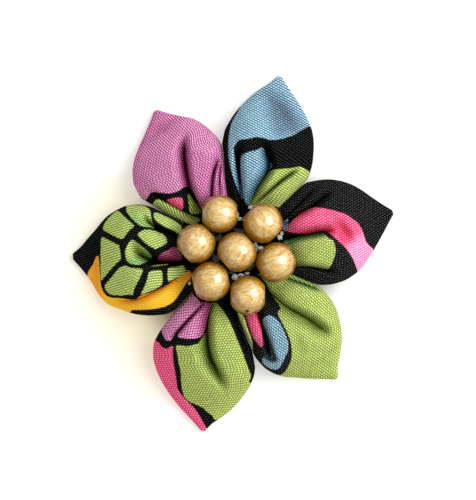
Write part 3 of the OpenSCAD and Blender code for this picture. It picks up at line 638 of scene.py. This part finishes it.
def makePetal(name, spec, seed):
    look, shape = petalLook, petalShape(spec)
    out, wall, side = shape.out, shape.wall, shape.side
    angles = np.arange(look["acrossFlap"]) / look["acrossFlap"] * math.pi / 2

    def sheet(inset, middle, top):
        # one face of the cloth, across and height: the left flap, the front, the right flap
        left, right = (np.maximum(look["slit"] / 2, (reach - inset) * np.sin(angles)) for reach in shape.reach)
        left, right = -left, right[:, ::-1]
        return (np.hstack([left, middle, right]),
                np.hstack([flapHeight(shape, left, inset), top, flapHeight(shape, right, inset)]))

    middle = frontPlaces(shape)
    top = frontHeight(shape, middle)
    lifted = np.clip((top - side) / np.maximum(shape.crown - side, look["flattest"]), 0, 1)
    thin = smooth(wall / look["wall"])
    waves = look["wrinkle"] * bumpyField(middle, out, seed, look["wrinkleSize"])
    squeeze, stretch = look["gatherStretch"]
    gathers = look["gather"] * bumpyField(middle * squeeze, out * stretch, seed + look["gatherSeed"],
                                          look["gatherSize"])
    fadeEnd, fadeStart = look["gatherFade"]
    waves = (waves + gathers * smooth((fadeEnd - out) / (fadeEnd - fadeStart))) * np.sqrt(lifted) * thin
    outer = sheet(0, middle, top + waves)
    reach = bySide(middle, *shape.reach)
    lining = middle * (reach - wall) / reach
    under = np.maximum(liningHeight(shape, lining) + waves * 0.5 - look["liningDrop"] * thin,
                       flapHeight(shape, lining, wall) + 0.5 * look["space"])
    across, height = np.stack([outer, sheet(wall, lining, under)], 1)
    _, stations, around = across.shape
    turn = math.radians(spec["facing"] - 90)
    cosine, sine = math.cos(turn), math.sin(turn)
    points = np.stack([across * cosine - out * sine + look["middle"][0],
                       across * sine + out * cosine + look["middle"][1], height], -1) * mm

    def quads(corner, *steps):
        return np.stack([corner + step for step in (0, *steps)], 1)

    inner = stations * around
    row, place = np.arange(stations - 1) * around, np.arange(around - 1)
    corner = (row[:, None] + place).ravel()
    last, root = row + around - 1, (stations - 1) * around + place
    faces = np.concatenate([
        quads(corner, 1, 1 + around, around), quads(corner + inner + around, 1, 1 - around, -around),
        quads(row, around, around + inner, inner), quads(last, inner, around + inner, around),
        quads(place, inner, 1 + inner, 1), quads(root, 1, 1 + inner, inner)])
    mesh = bpy.data.meshes.new(name)
    mesh.from_pydata(points.reshape(-1, 3).tolist(), [], faces.tolist())

    # cloth map in millimetres: across from the axis and along from the tip, partly as seen, partly as draped
    length = np.cumsum(np.hypot(*np.diff(outer, axis=2)), 1)
    length = np.hstack([np.zeros((stations, 1)), length])
    start, end = look["acrossFlap"], look["acrossFlap"] + look["acrossFront"]
    axis = [[np.interp(0.0, middle[s], length[s, start:end + 1])] for s in range(stations)]
    along = np.cumsum(np.hypot(np.diff(out, axis=0), np.diff(shape.crown, axis=0)), 0)
    along = np.vstack([[[0.0]], along])
    pastLeft, pastRight = length[:, [start]] - length[:, :start], length[:, end + 1:] - length[:, [end]]
    seen = np.hstack([middle[:, :1] - pastLeft, middle, middle[:, -1:] + pastRight])
    u = look["drape"] * (length - axis) + (1 - look["drape"]) * seen
    v = np.broadcast_to(look["drape"] * along + (1 - look["drape"]) * (out[0, 0] - out), u.shape)
    cloth = np.tile(np.stack([u.ravel(), -v.ravel()], 1), (2, 1))
    corners = np.empty(len(mesh.loops), np.int32)
    mesh.loops.foreach_get("vertex_index", corners)
    mesh.uv_layers.new(name="cloth").data.foreach_set("uv", cloth[corners].ravel())

    # the print is read from above on the front, and folds back on the flaps
    inward, outward = look["flapPrint"]
    seen = np.hstack([inward * pastLeft - shape.reach[0], middle, shape.reach[1] - inward * pastRight])
    seenOut = out + outward * np.hstack([pastLeft, np.zeros(middle.shape), pastRight])
    spots = np.stack([seen.ravel(), seenOut.ravel()], 1)
    for number, (_, outlines) in enumerate(spec["inks"]):
        storeValues(mesh, f"ink{number}", np.tile(inkDistance(spots, outlines), 2))
    # painted shade along the folds and in the dents
    crease = np.pad(foldShadeShare(shape, middle), ((0, 0), (start, start)))
    storeValues(mesh, "crease", np.tile(crease.ravel(), 2))

    mesh.shade_smooth()
    mesh.set_sharp_from_angle(angle=math.radians(look["sharpAngle"]))
    mesh.materials.append(clothMaterial(f"{name}Canvas", spec["ground"], spec["inks"], spec["threads"]))
    mesh.validate()
    mesh.update()
    area = sum(p.area for p in mesh.polygons) / 2
    print(f"{name}: {len(mesh.polygons)} faces, one side {area * 1e6:.0f} mm2")
    return newObject(name + "_cloth", mesh)


for number, (name, spec) in enumerate(petalSpecs.items()):
    petal = makePetal(name, spec, petalLook["seed"] + number)
    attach(petal, "root")
    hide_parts(name)
print("petals folded")


# Beads: turned barrels with a rounded lip at each end of the hole
beadLook = {
    "level": 11.61, "hole": 1.6, "endShare": 0.45, "around": 72, "profile": 72, "bellyShare": 0.76, "uneven": 0.06,
    "lit": (0.16, 0.08, 0.98),      # the way towards the key light, where the stain and the painted shade are thinnest
    # where a colour starts, where it is full, how much of what is under it it covers, and the colour
    "tan": (-0.3, 0.24, 1.0, "#c99414"), "blotch": (0.55, 0.68, 0.75, "#7c4c0a"),
    "brown": (1.2, 0.5, 0.65, "#93640a"), "pores": (0.66, 0.74, 0.35, "#7c4c0a"),
    "knot": (0.14, 0.08, 1.0, "#0c0603"),
    "pale": "#f8e6ae", "thinning": 0.55,
    # from and to in the value that each follows, and what it gives there
    "edge": (1.0, 0.35, 0.0, 0.2), "roughness": (0.3, 0.7, 0.26, 0.36),
    "specular": 0.25, "coatIor": 1.85, "coatRoughness": 0.15, "relief": (0.35, 0.08), "lipPower": 9.0,
    "weld": 0.0005, "swellScale": 0.35, "brownBands": 0.5, "noKnot": (0.0, 0.0, -9.0), "firstSeed": 3.0,
    "seedStep": 7.0, "grainStep": 13.7,
    # along and across the grain, then its noise
    "grain": {"Streaks": (0.9, 2.0, 1.4, 5.0, 0.74), "Bands": (0.5, 1.3, 1.1, 3.0, 0.6),
              "Pores": (0.4, 2.4, 1.3, 2.0, 0.5)},
}
# across, up, lift, turn of the hole, diameter, length, and the way from its middle to a dark spot, if it has one
beadRows = {
    "bead_top_left": (-3.1, 7.75, 0.1, 0, 7.8, 7.1, None),
    "bead_top_right": (5.65, 5.85, 0.15, 135, 8.2, 7.4, None),
    "bead_right": (8.3, -2.1, 0.0, 30, 8.0, 7.6, None),
    "bead_bottom": (2.6, -8.8, 0.3, 0, 8.1, 7.0, (-0.03, -0.78, 0.6)),
    "bead_bottom_left": (-4.9, -5.95, 0.0, 12, 8.1, 7.3, None),
    "bead_left": (-7.85, 1.75, 0.1, 45, 8.0, 7.2, None),
    "bead_centre": (0.4, 0.05, 1.2, 42, 8.2, 7.1, None),
}


def finishTree(build, given, made, **turn):
    # what both trees of geometry end with: put in place, brought to metres and given its material
    made = build.make("GeometryNodeRealizeInstances", made)
    made = build.make("GeometryNodeTransform", made, Translation=given["Place"], **turn)
    made = build.make("GeometryNodeTransform", made, Scale=(mm, mm, mm))
    build.add("NodeGroupOutput", build.make("GeometryNodeSetMaterial", made, Material=given["Material"]))
    return build.tree


def makeBeadTree():
    look = beadLook
    build, given = newTree("Geometry", "turnedBead", ["Geometry"], {
        "Radius": 4.0, "Half Length": 3.6, "Hole Radius": look["hole"] / 2, "End Radius": 1.8,
        "Around": look["around"] + 1, "Profile": look["profile"] + 1, "Uneven": look["uneven"], "Seed": 0.0,
        "Turn": (0.0, 0.0, 0.0), "Place": (0.0, 0.0, 0.0), "Material": beadMaterial()})
    bead = build.make("GeometryNodeMeshGrid", Vertices_X=given["Profile"], Vertices_Y=given["Around"])
    place = build.wires(build.add("ShaderNodeSeparateXYZ", build.make("GeometryNodeInputPosition")))
    t, angle = place["X"] + 0.5, (place["Y"] + 0.5) * (2 * math.pi)
    # belly: one arc through the widest line and the rims of the ends
    belly = look["bellyShare"]
    half, hole, drop = given["Half Length"], given["Hole Radius"], given["Radius"] - given["End Radius"]
    arc = (half * half + drop * drop) / (drop * 2.0)
    swing = (t * (2 / belly) - 1.0) * build.math("ARCSINE", half / arc)
    bellyAxis = arc * build.math("SINE", swing)
    bellyRadius = given["Radius"] - arc * (1.0 - build.math("COSINE", swing))
    # bore: from one rim through the hole to the other, dished at the ends
    cosine = build.math("COSINE", (t - belly) * (math.pi / (1 - belly)))
    lip = build.math("POWER", build.math("ABSOLUTE", cosine), look["lipPower"])
    boreRadius = hole + lip * (given["End Radius"] - hole)
    axis, radius = (build.make("GeometryNodeSwitch", t > belly, *pair, input_type="FLOAT")
                    for pair in ((bellyAxis, half * cosine), (bellyRadius, boreRadius)))
    circle = [radius * build.math(way, angle) for way in ("COSINE", "SINE")]
    bead = build.make("GeometryNodeSetPosition", bead, Position=build.make("ShaderNodeCombineXYZ", axis, *circle))
    bead = build.make("GeometryNodeMergeByDistance", bead, Distance=look["weld"])
    swell = build.make("ShaderNodeTexNoise", noise_dimensions="4D", W=given["Seed"], Scale=look["swellScale"],
                       Detail=1.0)
    push = build.vector("SCALE", build.make("GeometryNodeInputNormal"), Scale=(swell - 0.5) * given["Uneven"])
    bead = build.make("GeometryNodeSetPosition", bead, Offset=push)
    bead = build.make("GeometryNodeStoreNamedAttribute", bead, data_type="FLOAT_VECTOR", domain="POINT", Name="own",
                      Value=build.make("GeometryNodeInputPosition"))
    return finishTree(build, given, bead, Rotation=given["Turn"])


def faceOutwards(mesh):
    shell = bmesh.new()
    shell.from_mesh(mesh)
    bmesh.ops.remove_doubles(shell, verts=shell.verts, dist=1e-7)
    bmesh.ops.recalc_face_normals(shell, faces=shell.faces)
    shell.to_mesh(mesh)
    shell.free()
    mesh.shade_smooth()
    return mesh


def grownMesh(tree, name, **values):
    # a tree's result as a plain mesh; a value is set by its socket's identifier
    holder = newObject(name + "Maker", bpy.data.meshes.new(name + "Maker"))
    modifier = holder.modifiers.new("made", "NODES")
    modifier.node_group = tree
    for item in tree.interface.items_tree:
        if item.name.replace(" ", "") in values:
            modifier[item.identifier] = values[item.name.replace(" ", "")]
    bpy.context.view_layer.update()
    mesh = bpy.data.meshes.new_from_object(holder.evaluated_get(bpy.context.evaluated_depsgraph_get()))
    bpy.data.objects.remove(holder)
    mesh.name = name
    return faceOutwards(mesh)


# Grain along a bead's own axis: fine streaks, broader bands and pores
def makeGrain():
    grain = beadLook["grain"]
    build, given = newTree("Shader", "woodGrain", list(grain), {"Own": (0.0, 0.0, 0.0), "Seed": 0.0})
    shifted = build.vector("ADD", given["Own"], build.make("ShaderNodeCombineXYZ", *[given["Seed"]] * 3))
    build.add("NodeGroupOutput", *(build.noise(build.vector("MULTIPLY", shifted, (along, across, across)), *kind)
                                   for along, across, *kind in grain.values()))
    return build.tree


def beadMaterial():
    look = beadLook
    build = newMaterial("varnishedWood")
    grain = build.group(makeGrain(), Own=build.attribute("own", "Vector"), Seed=build.attribute("beadSeed"))
    rise, knot, colour = build.attribute("rise"), build.attribute("knot"), look["pale"]
    # partly stain, partly painted shade: the colour darkens on the sides and ends and on the side away from the key
    # light, and pales on the shoulder that faces it
    for value, layer in ((rise * -look["thinning"] + grain["Bands"], "tan"),
                         (build.remap(rise, *look["edge"]) + grain["Streaks"], "blotch"),
                         (grain["Bands"] * look["brownBands"] + rise, "brown"),
                         (grain["Pores"], "pores"), (knot, "knot")):
        start, full, share, tint = look[layer]
        colour = build.mix(build.remap(value, start, full) * share, colour, tint)
    return build.shade(
        Base_Color=colour, Roughness=build.remap(grain["Streaks"], *look["roughness"]),
        Specular_IOR_Level=look["specular"], Coat_Weight=1.0 - build.remap(knot, *look["knot"][:2]),
        Coat_IOR=look["coatIor"], Coat_Roughness=look["coatRoughness"],
        Normal=build.bump(grain["Streaks"], *look["relief"]))


beadTree = makeBeadTree()
lit = np.array(beadLook["lit"]) / np.linalg.norm(beadLook["lit"])
beadFaces = []
for number, (name, row) in enumerate(beadRows.items()):
    across, up, lift, turn, wide, long, knot = row
    centre = (across + petalLook["middle"][0], up + petalLook["middle"][1], beadLook["level"] + lift)
    mesh = grownMesh(beadTree, name, Radius=wide / 2, HalfLength=long / 2, Place=centre,
                     EndRadius=wide / 2 * beadLook["endShare"], Turn=(0.0, 0.0, math.radians(turn)),
                     Seed=beadLook["firstSeed"] + beadLook["seedStep"] * number)
    spots = np.empty(len(mesh.vertices) * 3)
    mesh.vertices.foreach_get("co", spots)
    offset = (spots.reshape(-1, 3) / mm - np.array(centre)) / (wide / 2)
    aim = np.array(knot) / np.linalg.norm(knot) if knot else np.array(beadLook["noKnot"])
    # how far each point faces the key light, which sets the painted shade
    storeValues(mesh, "rise", offset @ lit)
    storeValues(mesh, "knot", np.linalg.norm(offset - aim, axis=1))
    storeValues(mesh, "beadSeed", np.full(len(offset), beadLook["grainStep"] * (number + 1)))
    beadFaces.append(len(mesh.polygons))
    bead = newObject(name + "_wood", mesh)
    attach(bead, "root")
    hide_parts(name)
print("beads turned", beadFaces)


# Glue: the mound under the beads keeps its solid; drops of it glint between the beads
glueLook = {
    "surface": {"noises": ((900.0, 2.0, 0.5), (1500.0, 2.0, 0.5)), "roughness": (0.03, 0.1), "reliefBy": (1,),
                "relief": (0.4, 0.05), "IOR": 1.48},
    "clear": {"colours": ("#ffffff", "#f6f4e6"), "Transmission_Weight": 0.7},
    "onBlack": {"colours": ("#131314", "#26251f"), "Transmission_Weight": 0.2},
    "rings": 14, "sides": 20, "lumps": 0.35, "lumpScale": 1.7, "lumpStep": 5.3,
    # across, up, height, size, stretch
    "drops": [
        (0.8, 7.9, 11.6, 0.6, (0.8, 1.1, 0.7)), (1.4, 7.2, 11.2, 0.5, (1.2, 0.7, 0.6)),
        (5.6, 1.3, 12.2, 0.5, (1.2, 0.7, 0.7)), (4.8, 0.9, 11.6, 0.4, (0.8, 1.1, 0.7)),
        (9.5, 3.4, 11.2, 0.6, (0.9, 0.9, 0.8)), (9.9, 4.2, 11.0, 0.35, (0.9, 1.2, 0.8)),
        (0.4, -4.6, 11.4, 0.6, (1.1, 1.0, 0.7)), (1.6, -4.2, 11.3, 0.45, (1.5, 0.6, 0.6)),
        (2.9, -3.9, 11.3, 0.4, (1.3, 0.6, 0.6)), (-8.9, -6.0, 9.4, 0.35, (0.8, 0.8, 0.7)),
        (3.6, 9.5, 11.6, 0.5, (1.1, 0.7, 0.7))]}


speckle = {"colours": (0.35, 0.7), "roughness": (0.3, 0.7)}     # the noise's values between which they change


def speckled(name, colours, noises, roughness, relief, reliefBy=(0,), roughBy=0, stretch=(1.0, 1.0, 1.0), **more):
    # two colours mixed by the first of some noises; one noise gives the roughness, and one or more the relief
    build = newMaterial(name)
    place = build.vector("MULTIPLY", build.make("ShaderNodeTexCoord", result="Object"), stretch)
    fields = [build.noise(place, *kind) for kind in noises]
    height = fields[reliefBy[0]] if len(reliefBy) == 1 else fields[0] + fields[1]
    return build.shade(
        Base_Color=build.mix(build.remap(fields[0], *speckle["colours"]), *colours),
        Roughness=build.remap(fields[roughBy], *speckle["roughness"], *roughness),
        Normal=build.bump(height, *relief), **more)


points, faces = [], []
rings, sides = glueLook["rings"], glueLook["sides"]
for number, (*middle, size, stretch) in enumerate(glueLook["drops"]):
    base = len(points)
    for r in range(rings + 1):
        for s in range(sides):
            lat, lon = math.pi * r / rings, 2 * math.pi * s / sides
            aim = Vector((math.sin(lat) * math.cos(lon), math.sin(lat) * math.sin(lon), math.cos(lat)))
            lump = noise.noise(aim * glueLook["lumpScale"] + Vector((number * glueLook["lumpStep"], 0, 0)))
            grow = size * (1 + glueLook["lumps"] * lump)
            points.append([(at + way * grow * wide) * mm for at, way, wide in zip(middle, aim, stretch)])
    for r in range(rings):
        for s in range(sides):
            a, b = base + r * sides + s, base + r * sides + (s + 1) % sides
            faces.append((a, a + sides, b + sides, b))
drops = bpy.data.meshes.new("dropShape")
drops.from_pydata(points, [], faces)
drops.materials.append(speckled("clearGlue", **glueLook["surface"], **glueLook["clear"]))
glueDrops = newObject("glue_drops", faceOutwards(drops))
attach(glueDrops, "root")
print("glue set")


# Frayed threads that stand out of the left petal's pleat
frayLook = {
    "place": (-8.7, -3.6, 8.9), "count": 9, "length": 1.5, "thick": 0.05, "seed": 4, "spacing": (0.03, -0.19, 0.0),
    "curve": ((0.0, 0.0, -0.3), (-0.5, 0.1, 0.6), (-0.9, -0.2, 0.2)),
    "turns": ((-0.5, -0.6, -0.9), (0.5, 0.4, 1.0)), "sizes": (0.5, 1.0),
    "colours": ("#f2a01c", "#a05a10"), "toneScale": 1800.0, "toneRange": (0.4, 0.65), "roughness": 0.8}


def makeFrayTree():
    look = frayLook
    build, given = newTree("Geometry", "frayedThreads", ["Geometry"], {
        "Count": look["count"], "Length": look["length"], "Thickness": look["thick"], "Seed": look["seed"],
        "Place": look["place"], "Material": frayMaterial()})
    line = build.make("GeometryNodeMeshLine", Count=given["Count"], Offset=look["spacing"])
    start, middle, end = look["curve"]
    thread = build.make("GeometryNodeCurveQuadraticBezier", Resolution=8, Start=start, Middle=middle, End=end)
    profile = build.make("GeometryNodeCurvePrimitiveCircle", Resolution=6, Radius=given["Thickness"])
    tube = build.make("GeometryNodeCurveToMesh", thread, Profile_Curve=profile, Fill_Caps=True)
    turn = build.make("FunctionNodeRandomValue", *look["turns"], data_type="FLOAT_VECTOR", Seed=given["Seed"])
    size = build.make("FunctionNodeRandomValue", None, None, *look["sizes"], result=1, data_type="FLOAT",
                      Seed=given["Seed"])
    copies = build.make("GeometryNodeInstanceOnPoints", line, Instance=tube, Rotation=turn,
                        Scale=size * given["Length"])
    return finishTree(build, given, copies)


def frayMaterial():
    build = newMaterial("orangeThread")
    tone = build.noise(build.make("ShaderNodeTexCoord", result="Object"), frayLook["toneScale"])
    share = build.remap(tone, *frayLook["toneRange"])
    return build.shade(Base_Color=build.mix(share, *frayLook["colours"]), Roughness=frayLook["roughness"])


frayMesh = grownMesh(makeFrayTree(), "frayed_threads")
frayPiece = newObject("frayed_threads", frayMesh)
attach(frayPiece, "root")
print("threads frayed", len(frayMesh.polygons))


# Backing: felt disc and bar pin keep their solids
backingLook = {
    "felt": {"colours": ("#17171a", "#4a4a50"), "noises": ((2600.0, 5.0, 0.7), (500.0, 3.0, 0.6)), "roughBy": 1,
             "roughness": (0.85, 1.0), "reliefBy": (0, 1), "relief": (0.9, 0.15), "Sheen_Weight": 0.5},
    "nickel": {"colours": ("#d2d0ca", "#a9a7a2"), "noises": ((5200.0, 3.0, 0.6),), "stretch": (0.06, 1.0, 1.0),
               "roughness": (0.16, 0.34), "relief": (0.15, 0.02), "Metallic": 1.0},
}


def dress(node, material):
    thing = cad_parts[node]
    for piece in (thing if isinstance(thing, (list, tuple)) else [thing]):
        if not piece.material_slots:
            piece.data.materials.append(material)
        for place in piece.material_slots:
            place.material = material


dress("felt_disc", speckled("denseFelt", **backingLook["felt"]))
dress("bar_pin", speckled("nickelPlate", **backingLook["nickel"]))
dress("glue_pad", speckled("glueOnBlack", **glueLook["surface"], **glueLook["onBlack"]))
print("backing dressed")


# Floor and light: near-white paper, a wide soft window to the right
studio = {
    "floor": ("#c8c7c4", "#c5c4c2"), "floorHalf": 1.6, "floorDrop": 0.03, "floorRoughness": 0.9,
    "floorSpecular": 0.1, "floorGrain": 60.0,
    # painted light: the paper glows, starting and full at these mm from the middle; painted shadow: a warm tint on
    # one side beside the flower
    "glow": 0.5, "glowRange": (16.0, 24.0), "glowColour": (1.0, 0.985, 0.95, 1.0),
    "warm": (1.0, 0.925, 0.68, 1.0), "warmTurn": 197.0, "warmSpread": (0.5, 0.85), "warmRange": (20.0, 40.0),
    "keyEnergy": 5.3, "keySize": (0.6, 0.5), "keyDistance": 0.75, "keyFromTop": 42.0, "keyTurn": 20.0,
    "keyColour": (0.94, 0.97, 1.0), "world": 0.66, "worldColour": (1.0, 0.98, 0.94, 1.0),
}


def paperMaterial():
    build = newMaterial("whitePaper")
    place = build.make("ShaderNodeTexCoord", result="Object")
    paper = build.mix(build.noise(place, studio["floorGrain"]), *studio["floor"])
    away = build.vector("LENGTH", place, result="Value") * (1 / mm)
    warmTurn = math.radians(studio["warmTurn"])
    side = build.vector("DOT_PRODUCT", build.vector("NORMALIZE", place),
                        (math.cos(warmTurn), math.sin(warmTurn), 0.0), result="Value")
    # painted shadow: to one side near the flower the paper and its glow are tinted warm; painted light: away from
    # the flower the paper glows
    warm = build.remap(side, *studio["warmSpread"]) * build.remap(away, *studio["warmRange"], 1.0, 0.0)
    light = build.mix(warm, studio["glowColour"], studio["warm"])
    return build.shade(
        Base_Color=build.mix(warm, paper, build.mix(1.0, paper, studio["warm"], "MULTIPLY")),
        Roughness=studio["floorRoughness"], Specular_IOR_Level=studio["floorSpecular"],
        Emission_Color=build.mix(build.remap(away, *studio["glowRange"]), (0.0, 0.0, 0.0, 1.0), light),
        Emission_Strength=studio["glow"])


floorMesh = bpy.data.meshes.new("paperFloor")
floorMesh.from_pydata([(x * studio["floorHalf"], y * studio["floorHalf"], -studio["floorDrop"] * mm)
                       for x, y in ((-1, -1), (1, -1), (1, 1), (-1, 1))], [], [(0, 1, 2, 3)])
floorMesh.materials.append(paperMaterial())
newObject("paper_floor", floorMesh)

keyData = bpy.data.lights.new("window", "AREA")
keyData.shape = "RECTANGLE"
keyData.size, keyData.size_y = studio["keySize"]
keyData.energy = studio["keyEnergy"]
keyData.color = studio["keyColour"]
keyLight = newObject("window", keyData)
tilt, turn = math.radians(studio["keyFromTop"]), math.radians(studio["keyTurn"])
towardKey = Vector((math.sin(tilt) * math.cos(turn), math.sin(tilt) * math.sin(turn), math.cos(tilt)))
keyLight.location = towardKey * studio["keyDistance"]
keyLight.rotation_euler = (-keyLight.location).to_track_quat("-Z", "Y").to_euler()

world = bpy.data.worlds.new("paleRoom")
world.use_nodes = True
background = world.node_tree.nodes["Background"].inputs
background[0].default_value, background[1].default_value = studio["worldColour"], studio["world"]
bpy.context.scene.world = world
bpy.context.scene.view_settings.view_transform = "Standard"   # as a plain camera would see it
print("lights on")
